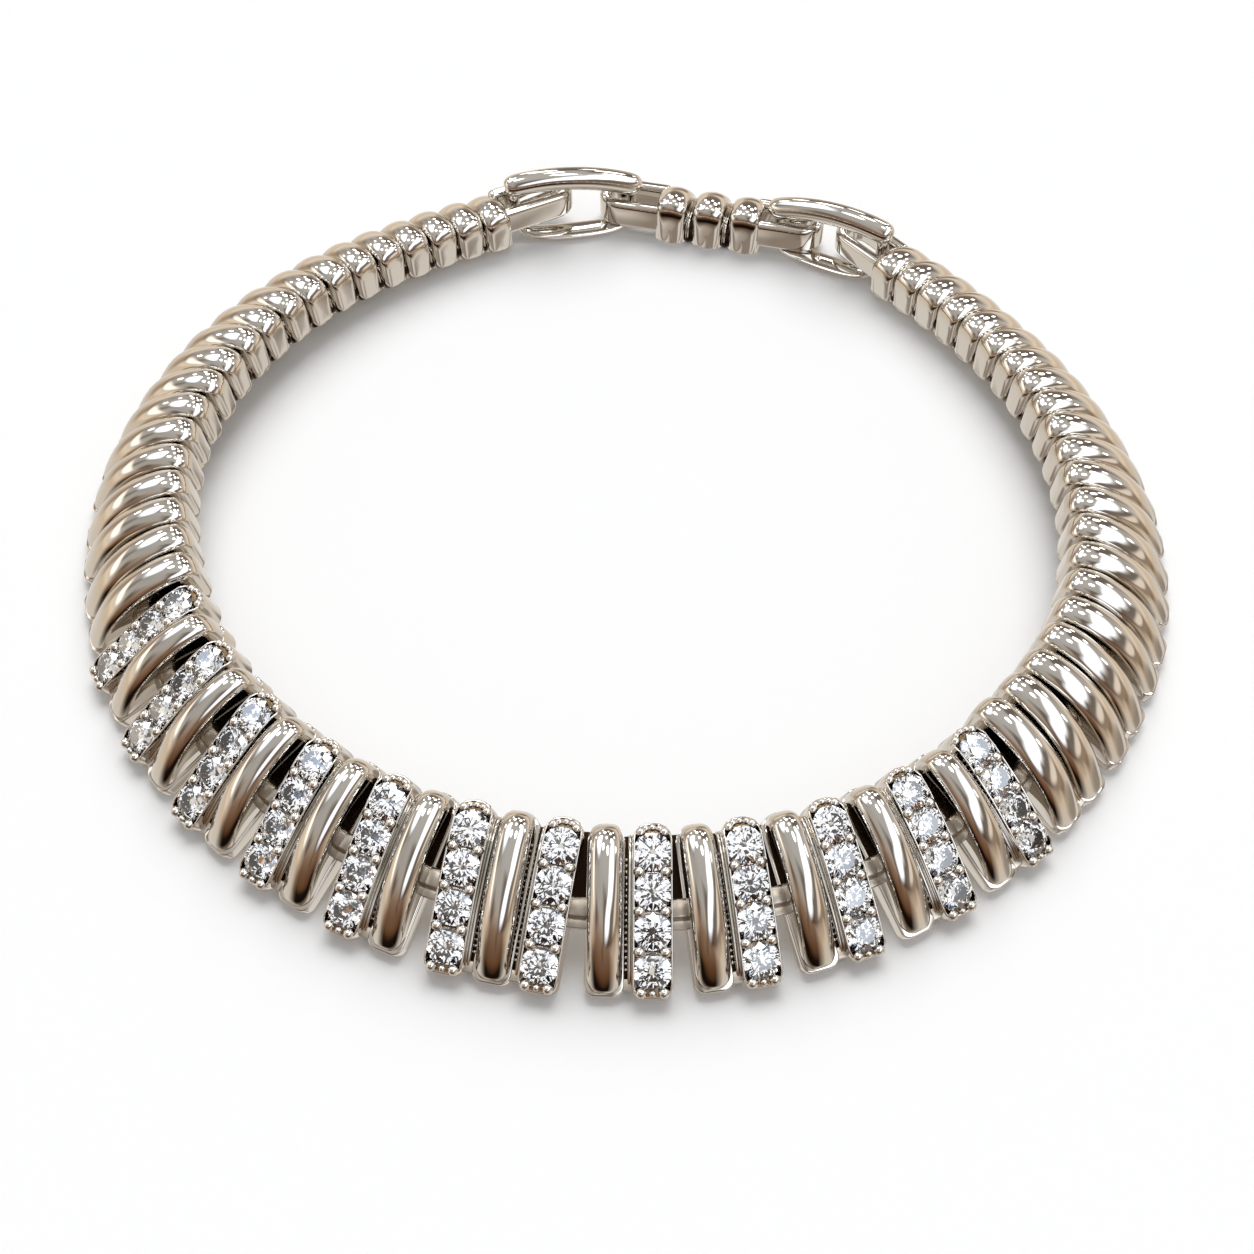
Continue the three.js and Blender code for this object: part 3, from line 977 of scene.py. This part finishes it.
# %% Model a loop
def model_loop(name, length, low, high):
    made = start_form(name)
    radius = (LOOP["depth"] - LOOP["wall"]) / 2
    run = length - LOOP["depth"] / 2
    corner = Vector((-LOOP["root"], -radius, (low + high) / 2))
    bpy.ops.mesh.primitive_plane_add(size=1, location=corner, rotation=(0, math.pi / 2, 0))
    stretch((1, LOOP["wall"], high - low), corner)
    full_run = run + LOOP["root"]
    extrude(full_run, 0, 0)
    bpy.ops.mesh.spin(steps=12, angle=-math.pi, center=(run, 0, 0), axis=(0, 0, 1))
    extrude(-full_run, 0, 0)
    select_all()
    bpy.ops.mesh.remove_doubles(threshold=0.001)
    bpy.ops.mesh.normals_make_consistent(inside=False)
    bpy.ops.object.mode_set(mode="OBJECT")
    modify("BEVEL", width=LOOP["edge"], segments=6, limit_method="ANGLE",
           angle_limit=math.radians(50), use_clamp_overlap=False)
    bpy.ops.object.mode_set(mode="EDIT")
    return finish_form(fit=False, smooth=35)


loop_forms = {name: model_loop(f"{name}_loop_form", **size) for name, size in LOOPS.items()}

# %% Model a closing ring
RINGS = {                   # the last two say how far a leg stands from the bar beside it
    "left": {"rod": 22.8, "height": 12.0, "tilt": -1.3, "in_chain": 2.3, "in_extender": 5.2},
    "right": {"rod": 21.6, "height": 11.3, "tilt": 1.25, "in_chain": 2.0, "in_extender": 2.9},
}
ROD = {"radius": 1.9, "sag": 2.05}
ROD_STATIONS = table(      # how far before the end, in radii, and how thick
    "before thick",
    (0.0, 0.42), (0.16, 0.72), (0.5, 0.94),
    (1.1, 1.0), (2.6, 1.0), (4.6, 1.0),
)
STRIP_STATIONS = table(
    "x z thick wide near",
    (1.0, 0.7, 0.95, 1.15, 0.0),
    (1.0, 0.42, 0.95, 0.95, 0.0),
    (0.96, 0.17, 0.8, 0.95, 0.1),
    (0.84, 0.057, 0.55, 1.7, 1.4),
    (0.4, 0.057, 0.55, 2.0, 2.0),
)
ROUNDING_LOSS = 0.92       # a rounded eight-sided section ends this much slimmer


def model_rod(name, rows):
    """A closed rod through sections that are given by x, y, z, thickness and width."""
    made = start_form(name)
    points = [Vector((row["x"], row["y"], row["z"])) for row in rows]
    for i, (row, point) in enumerate(zip(rows, points)):
        run = points[min(i + 1, len(points) - 1)] - points[max(i - 1, 0)]
        bpy.ops.mesh.primitive_circle_add(
            vertices=8, radius=row["thick"] / ROUNDING_LOSS, location=point,
            rotation=(0, math.atan2(run.x, run.z), 0),
        )
        stretch((1, row["wide"] / row["thick"], 1), point)
    select_all()
    bpy.ops.mesh.bridge_edge_loops(type="SINGLE")
    select_all()
    bpy.ops.mesh.fill_holes(sides=0)
    return finish_form(fit=False, rounds=2)


def rod_rows(length, height, tilt):
    """Sections of the arched rod on top of a ring, rounded off at both ends."""
    radius, half = ROD["radius"], length / 2
    places = [(half - row["before"] * radius, row["thick"] * radius) for row in ROD_STATIONS]
    places += [(-x, thick) for x, thick in reversed(places)]
    rows = []
    for x, thick in places:
        z = height - radius - ROD["sag"] * (x / half) ** 2 + tilt * x / half
        rows.append({"x": x, "y": 0.0, "z": z, "thick": thick, "wide": thick})
    return rows


def strip_rows(reach, height):
    """Sections of the thinner lower part: a leg, the flat strip and the other leg."""
    rows = [
        {**row, "x": row["x"] * reach, "y": -row["near"], "z": row["z"] * height}
        for row in STRIP_STATIONS
    ]
    return rows + [{**row, "x": -row["x"]} for row in reversed(rows)]


# %% Lay the ends of the chain and the rings
def leg(end, distance):
    """Where a ring goes down through a loop, in millimetres."""
    return END_FRAMES[end] @ Vector((distance, 0, 0)) / MM


def lay_ring(side_name, start, finish):
    """One ring between two points where its legs stand."""
    between, sizes = finish - start, RINGS[side_name]
    middle = ((start.x + finish.x) / 2, (start.y + finish.y) / 2, 0)
    where = level_frame(middle, math.atan2(between.y, between.x))
    height = sizes["height"]
    rod = model_rod(f"{side_name}_rod_form", rod_rows(sizes["rod"], height, sizes["tilt"]))
    strip = model_rod(f"{side_name}_strip_form", strip_rows(between.length / 2, height))
    for form in (rod, strip):
        form.data.materials.append(polished_gold)
    parts = [lay(form, where, (1, 1, 1)) for form in (rod, strip)]
    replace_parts(join_piece(f"{side_name}_closing_ring", parts), f"clasp_ring_{side_name}")


for form in loop_forms.values():
    form.data.materials.append(polished_gold)
for side_name in ("left", "right"):
    loop = lay(loop_forms[side_name], END_FRAMES[side_name], (1, 1, 1))
    join_piece(f"{side_name}_end_loop", [loop])
sizes = RINGS["left"]
lay_ring("left", leg("left", sizes["in_chain"]), leg("extender_left", sizes["in_extender"]))
sizes = RINGS["right"]
lay_ring("right", leg("extender_right", sizes["in_extender"]), leg("right", sizes["in_chain"]))

# %% Lay the extender
extender_parts = []
for n in EXTENDER["bars"]:
    extender_parts += polished_bar(extender_frame(n), EXTENDER_BAR, "in_the_extender")
for n in EXTENDER["bars"][1:]:
    extender_parts += web_between(extender_frame(n - 0.5), EXTENDER_BAR)
for end in ("extender_left", "extender_right"):
    extender_parts.append(lay(loop_forms["extender"], END_FRAMES[end], (1, 1, 1)))
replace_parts(join_piece("extender_bars_and_loops", extender_parts), "extender")

# %% Clear the forms away, now that every copy is laid
for form in [ob for ob in bpy.data.objects if ob.name.endswith("_form")]:
    bpy.data.objects.remove(form)

# %% [markdown]
# ## Table and room
#
# The necklace lies on a plain white sweep.  Polished metal shows nothing but its room, so
# the room is what makes it look like metal.  Walls and furniture could be built, but colours
# that change with height do as well: pale below, where the table would be mirrored, then a
# dark shelf and brown boards in front, pale walls elsewhere and a grey ceiling over all.
# Soft patches of noise stand for the furniture.

# %% Lay the floor
bpy.ops.object.select_all(action="DESELECT")
bpy.ops.mesh.primitive_plane_add(size=60.0)     # its edge stays beyond the low views
floor = bpy.context.object
floor.name = "white_sweep"
paper, _ = new_finish("matt_white_paper", {"Base Color": colour("f7f7f7"), "Roughness": 0.9})
floor.data.materials.append(paper)
floor.visible_glossy = False       # the metal mirrors the room's pale lower part instead
floor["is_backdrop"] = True
print("floor:", floor.name)

# %% Room: colours from straight below (-1) to straight above (1)
FRONT_ROOM = [
    (-1.0, "f2eeea"), (-0.62, "dcd6ce"), (-0.45, "8a7a6c"), (-0.32, "0c0806"), (-0.2, "20140d"),
    (-0.1, "65462f"), (0.25, "8f7663"), (0.48, "aea49a"), (0.7, "b6b3af"), (1.0, "bebdbb"),
]
OTHER_ROOM = [
    (-1.0, "dedbd7"), (-0.4, "d6d0c8"), (-0.08, "d8c5ae"), (0.05, "efddc8"), (0.2, "d2ccc5"),
    (0.45, "b0aca7"), (0.7, "adaba8"), (1.0, "bcbbb9"),
]
ROOM_POWER = {"on_metal": 1.36, "on_paper": 0.46}
room = bpy.data.worlds.new("studio")
bpy.context.scene.world = room
room.use_nodes = True
tree = room.node_tree
toward = add_node(tree, "ShaderNodeTexCoord").outputs["Generated"]
direction = add_node(tree, "ShaderNodeSeparateXYZ", links={"Vector": toward})
height_share = add_node(
    tree, "ShaderNodeMapRange", inputs={"From Min": -1.0}, links={"Value": direction.outputs["Z"]}
)


def room_ramp(stops):
    made = add_node(tree, "ShaderNodeValToRGB", links={"Fac": height_share.outputs["Result"]})
    points = made.color_ramp.elements
    points[0].color, points[1].color = colour(stops[0][1]), colour(stops[-1][1])
    for level, text in stops[1:-1]:
        points.new((level + 1) / 2).color = colour(text)
    return made.outputs["Color"]


front_to_back = add_node(  # 0 straight in front, 1 for the rest of the room
    tree, "ShaderNodeMapRange", inputs={"From Min": -0.85, "From Max": -0.5},
    links={"Value": direction.outputs["Y"]},
)
walls = add_node(
    tree, "ShaderNodeMix", {"data_type": "RGBA"},
    links={
        "Factor": front_to_back.outputs["Result"],
        6: room_ramp(FRONT_ROOM), 7: room_ramp(OTHER_ROOM),
    },
)
patches = add_node(
    tree, "ShaderNodeTexNoise", inputs={"Scale": 1.7, "Detail": 0.0, "Distortion": 0.4},
    links={"Vector": toward},
)
patch_share = add_node(
    tree, "ShaderNodeMapRange",
    inputs={"From Min": 0.48, "From Max": 0.64, "To Min": 0.0, "To Max": 0.8},
    links={"Value": patches.outputs["Fac"]},
)
furnished = add_node(
    tree, "ShaderNodeMix", {"data_type": "RGBA", "blend_type": "MULTIPLY"},
    {7: colour("85766a")}, {"Factor": patch_share.outputs["Result"], 6: walls.outputs[2]},
)
print("room colours:", len(FRONT_ROOM), "in front and", len(OTHER_ROOM), "elsewhere")

# %% [markdown]
# ## Windows
#
# Daylight on polished metal has soft ends, because a window is never evenly bright.  An area
# lamp mirrors as a patch with a hard edge, so each window is a glow in the world itself: a
# round gradient, stretched to its width and height and turned to face the necklace.

# %% Soft-edged windows that the metal mirrors, with the angles in degrees
WINDOWS = table(
    "azimuth elevation across along power tint",
    (98, 48, 19, 42, 2.3, "e6f0ff"),
    (148, 32, 15, 28, 1.6, "e6f0ff"),
    (-82, 52, 20, 24, 2.3, "e2eeff"),
    (-98, 16, 8, 34, 1.0, "fff4e6"),
    (98, 14, 8, 34, 0.6, "fff4e6"),
)


def toward_lamp(azimuth, elevation):
    """Unit vector outward; azimuth 0 is behind the necklace and 90 to its right."""
    a, e = math.radians(azimuth), math.radians(elevation)
    return Vector((math.sin(a) * math.cos(e), math.cos(a) * math.cos(e), math.sin(e)))


def facing(out):
    """Turn of a lamp or window that lies outward: its columns point across, along and out."""
    across = Vector((0, 1, 0)).cross(out).normalized()
    return Matrix((across, out.cross(across), out)).transposed()


lit = furnished.outputs[2]
for row in WINDOWS:
    out = toward_lamp(row["azimuth"], row["elevation"])
    wide, high = (math.sin(math.radians(row[key])) for key in ("across", "along"))
    spot = add_node(
        tree, "ShaderNodeMapping", {"vector_type": "TEXTURE"},
        {"Location": out, "Rotation": facing(out).to_euler(), "Scale": (wide, high, 1)},
        {"Vector": toward},
    )
    fade = add_node(
        tree, "ShaderNodeTexGradient", {"gradient_type": "SPHERICAL"},
        links={"Vector": spot.outputs["Vector"]},
    )
    glow = add_node(
        tree, "ShaderNodeMapRange", {"interpolation_type": "SMOOTHSTEP"}, {"From Max": 0.6},
        {"Value": fade.outputs["Fac"]},
    )
    tint = [row["power"] * part for part in colour(row["tint"])[:3]] + [1]
    with_window = add_node(
        tree, "ShaderNodeMix", {"data_type": "RGBA", "blend_type": "ADD"},
        {7: tint}, {"Factor": glow.outputs["Result"], 6: lit},
    )
    lit = with_window.outputs[2]
print("windows:", len(WINDOWS))

# %% [markdown]
# ## Cards round the stones
#
# A brilliant sparkles because its facets show small bright and dark things side by side.
# Those would spoil the calm reflections in the gold, so only rays that pass through a stone
# meet them: cells of black, white, blue and amber.  The paper gets plain white light.

# %% Cards, and plain light on the paper
CARDS = [                   # from this share of the cells on, and the colour
    (0.0, "10141c"), (0.18, "5d6f8c"), (0.26, "f8faff"), (0.50, "d3dcea"), (0.58, "b0793e"),
    (0.63, "ffffff"), (0.88, "2a2f38"), (0.93, "ffffff"),
]
cells = add_node(
    tree, "ShaderNodeTexVoronoi", inputs={"Scale": 2.6}, links={"Vector": toward}
)
shade = add_node(tree, "ShaderNodeSeparateXYZ", links={"Vector": cells.outputs["Color"]})
cards = add_node(tree, "ShaderNodeValToRGB", links={"Fac": shade.outputs["X"]})
cards.color_ramp.interpolation = "CONSTANT"
cards.color_ramp.elements.remove(cards.color_ramp.elements[1])
cards.color_ramp.elements[0].color = colour(CARDS[0][1])
for share, text in CARDS[1:]:
    cards.color_ramp.elements.new(share).color = colour(text)
ray = add_node(tree, "ShaderNodeLightPath").outputs
with_cards = add_node(
    tree, "ShaderNodeMix", {"data_type": "RGBA"},
    links={"Factor": ray["Is Transmission Ray"], 6: lit, 7: cards.outputs["Color"]},
)
seen = add_node(
    tree, "ShaderNodeMix", {"data_type": "RGBA"}, {7: colour("f6f6f6")},
    {"Factor": ray["Is Diffuse Ray"], 6: with_cards.outputs[2]},
)
power = add_node(
    tree, "ShaderNodeMapRange",
    inputs={"To Min": ROOM_POWER["on_metal"], "To Max": ROOM_POWER["on_paper"]},
    links={"Value": ray["Is Diffuse Ray"]},
)
tree.links.new(seen.outputs[2], tree.nodes["Background"].inputs["Color"])
tree.links.new(power.outputs["Result"], tree.nodes["Background"].inputs["Strength"])
print("cards:", len(CARDS), "colours")

# %% [markdown]
# ## Lamps
#
# Six ceiling lamps round a seventh, and a row of small wall lamps at the back, sparkle on
# the rounded necks of the bars.  They are discs, and the paper doesn't see them.  The soft
# shadow in front comes from a broad sun behind, which the metal doesn't mirror.

# %% Ceiling and wall lamps
LAMP_DISTANCE = 2          # metres
CEILING = {"azimuth": 0, "elevation": 68, "spread": 28, "radiance": 5.0}
PETALS = {"count": 6, "size": 0.44, "middle_size": 0.36}
WALL_LAMPS = {"count": 7, "from": -72, "step": 24, "low": 26, "zigzag": 8}


def lamp(name, out, size, radiance):
    """A round lamp that faces the middle of the necklace."""
    made = bpy.data.objects.new(name, bpy.data.lights.new(name, "AREA"))
    bpy.context.scene.collection.objects.link(made)
    made.matrix_world = Matrix.Translation(LAMP_DISTANCE * out) @ facing(out).to_4x4()
    made.data.shape = "DISK"
    made.data.size = size
    made.data.energy = radiance * math.pi * size * size
    made.visible_diffuse = False
    made.visible_transmission = False


middle = toward_lamp(CEILING["azimuth"], CEILING["elevation"])
across, along, _ = facing(middle).transposed()
opening = math.radians(CEILING["spread"])
for i in range(PETALS["count"]):
    turn = math.radians(360 / PETALS["count"] * (i + 0.5))
    aside = math.sin(turn) * across + math.cos(turn) * along
    out = math.cos(opening) * middle + math.sin(opening) * aside
    lamp(f"ceiling_lamp_{i + 1}", out, PETALS["size"], CEILING["radiance"])
lamp("ceiling_lamp_middle", middle, PETALS["middle_size"], CEILING["radiance"])
for i in range(WALL_LAMPS["count"]):
    azimuth = WALL_LAMPS["from"] + WALL_LAMPS["step"] * i
    elevation = WALL_LAMPS["low"] + WALL_LAMPS["zigzag"] * (i % 2)
    lamp(f"wall_lamp_{i + 1}", toward_lamp(azimuth, elevation), size=0.24, radiance=4.5)

# %% Sun, and plain colours
key = bpy.data.objects.new("back_key", bpy.data.lights.new("back_key", "SUN"))
bpy.context.scene.collection.objects.link(key)
key.data.energy = 2.5
key.data.angle = math.radians(50)
key.rotation_euler = (math.radians(-38), math.radians(-5), 0)
key.visible_glossy = False
bpy.context.scene.view_settings.view_transform = "Standard"
print("lamps:", len(bpy.data.lights))

# %% [markdown]
# ## Measure
#
# The box round the necklace is measured and kept beside that of the solids, and its size is
# printed.

# %% Measure and finish
lo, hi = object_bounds()
sizes = {
    "solid": [list(corner) for corner in SOLID_BOUNDS],
    "visual": [list(lo), list(hi)],
}
print("size in mm:", [round((b - a) * 1000, 1) for a, b in zip(lo, hi)])
